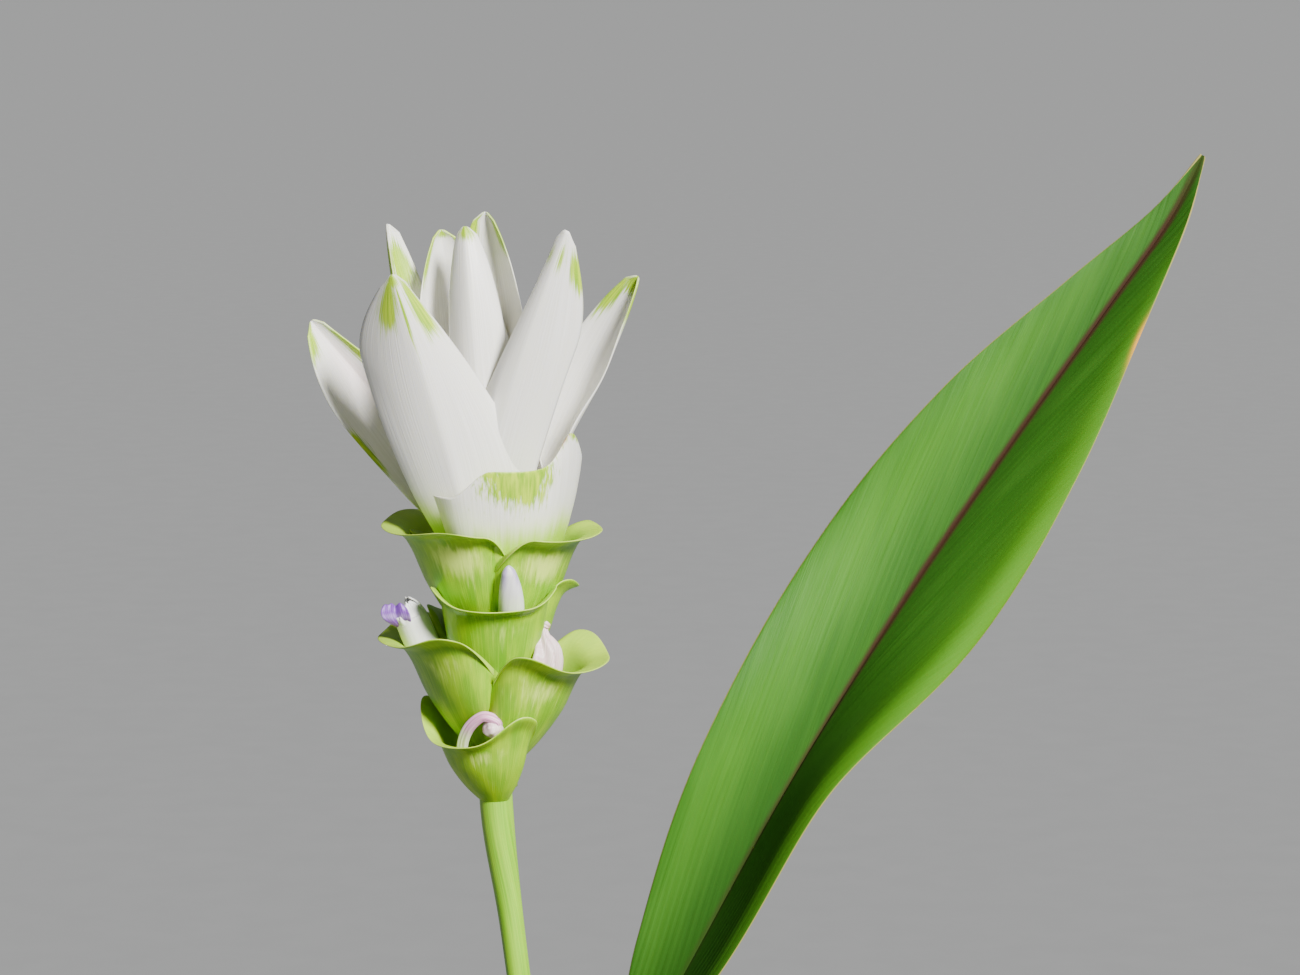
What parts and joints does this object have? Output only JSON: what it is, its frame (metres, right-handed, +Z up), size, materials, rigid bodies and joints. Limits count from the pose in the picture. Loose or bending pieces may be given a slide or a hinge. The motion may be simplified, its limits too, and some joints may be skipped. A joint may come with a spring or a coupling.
{
  "type": "potted curcuma",
  "caption": "Flowering curcuma in a plain clay pot: upright spike of green pouch bracts under a white bract crown, small florets, one tall and two short arching leaves.",
  "frame": {"origin": "centre of the pot's flat base", "axes": "+Z up; the spike's front bract faces -Y; the tall leaf leans to +X"},
  "size_m": [0.2539, 0.1308, 0.4094],
  "materials": {
    "clay": "matt unglazed clay",
    "soil": "dark potting soil, crumbly",
    "rhizome": "dull tan skin",
    "stem": "smooth green plant tissue with a soft sheen",
    "green_bract": "satin bright green with pale flecks and fine veins",
    "white_bract": "satin white with fine veins and green tips",
    "floret": "delicate petal, white to pale violet",
    "leaf": "satin green with fine slanting veins and a red-brown midrib",
    "sheath": "pale green sheath"
  },
  "bodies": {
    "root": {"pot": "clay", "soil": "soil", "rhizome": "rhizome", "flower_stem": "stem", "green_bracts": "green_bract", "white_bracts": "white_bract", "floret_bud": "floret", "floret_open": "floret", "floret_faded": "floret", "floret_curled": "floret", "leaf_main": "leaf", "leaf_second": "leaf", "leaf_third": "leaf", "basal_sheath": "sheath"}
  },
  "joints": []
}
